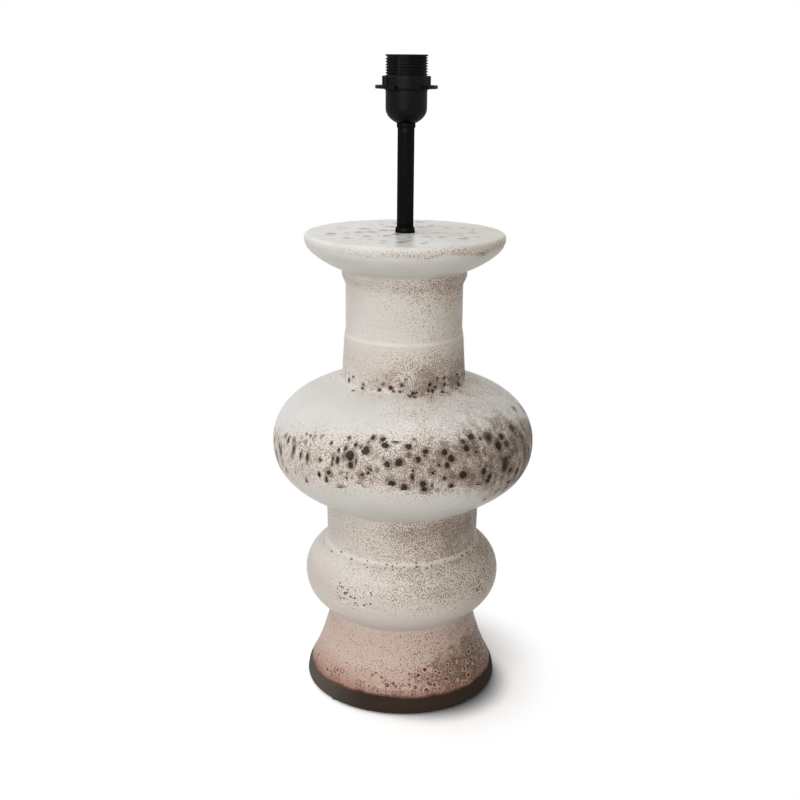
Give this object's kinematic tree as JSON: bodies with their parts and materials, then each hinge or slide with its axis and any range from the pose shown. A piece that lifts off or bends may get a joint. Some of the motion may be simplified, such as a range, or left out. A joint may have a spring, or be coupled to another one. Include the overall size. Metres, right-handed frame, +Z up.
{
  "type": "lamp base",
  "caption": "Tall turned stoneware table lamp base with rounded belly and tray top, metal stem and threaded screw-socket lampholder with a shade ring, without shade, bulb or cord",
  "frame": {"origin": "on the table surface, under the middle of the foot", "axes": "+Z up along the lamp's axis of turning, +Y towards the back where the cable bushing is, -Y towards the viewer"},
  "size_m": [0.2622, 0.2622, 0.6325],
  "materials": {
    "glazed_stoneware": "satin off-white reactive glaze with brown speckle and spots, bare dark clay band at the foot",
    "soft_rubber": "matt black rubber",
    "felt": "dark self-adhesive felt",
    "zinc_steel": "zinc-plated steel",
    "black_paint": "satin black powder coat",
    "black_plastic": "black moulded thermoplastic, lightly glossy",
    "terminal_brass": "plain brass, slightly dull",
    "core_ceramic": "unglazed white steatite",
    "spring_bronze": "phosphor bronze strip"
  },
  "bodies": {
    "lamp_body": {"column_foot": "glazed_stoneware", "column_ring": "glazed_stoneware", "column_waist": "glazed_stoneware", "column_belly": "glazed_stoneware", "column_neck": "glazed_stoneware", "column_tray": "glazed_stoneware", "cable_bushing": "soft_rubber", "felt_pad_1": "felt", "felt_pad_2": "felt", "felt_pad_3": "felt", "felt_pad_4": "felt", "soft_washer": "soft_rubber", "plate_washer": "zinc_steel", "lock_washer": "zinc_steel", "hex_nut": "zinc_steel", "threaded_rod": "zinc_steel", "lower_ferrule": "black_paint", "stem_tube": "black_paint", "upper_ferrule": "black_paint", "dome_cap": "black_plastic", "threaded_insert": "terminal_brass", "grub_screw": "zinc_steel", "insulating_core": "core_ceramic", "screw_shell": "terminal_brass", "contact_foot": "spring_bronze", "live_rivet": "terminal_brass", "neutral_rivet": "terminal_brass", "live_terminal": "terminal_brass", "live_terminal_screw": "zinc_steel", "neutral_terminal": "terminal_brass", "neutral_terminal_screw": "zinc_steel", "outer_shell": "black_plastic"},
    "ring_body": {"shade_ring": "black_plastic"},
    "tongue_body": {"centre_contact": "spring_bronze"}
  },
  "joints": [
    {"name": "ring_travel", "type": "slide", "parent": "lamp_body", "child": "ring_body", "axis": [0, 0, 1], "range_m": [0, 0.032]},
    {"name": "contact_press", "type": "hinge", "parent": "lamp_body", "child": "tongue_body", "pos_m": [-0.0034, 0, 0.6008], "axis": [0, 1, 0], "range_deg": [0, 16], "stiffness_Nm_per_rad": 0.05}
  ]
}
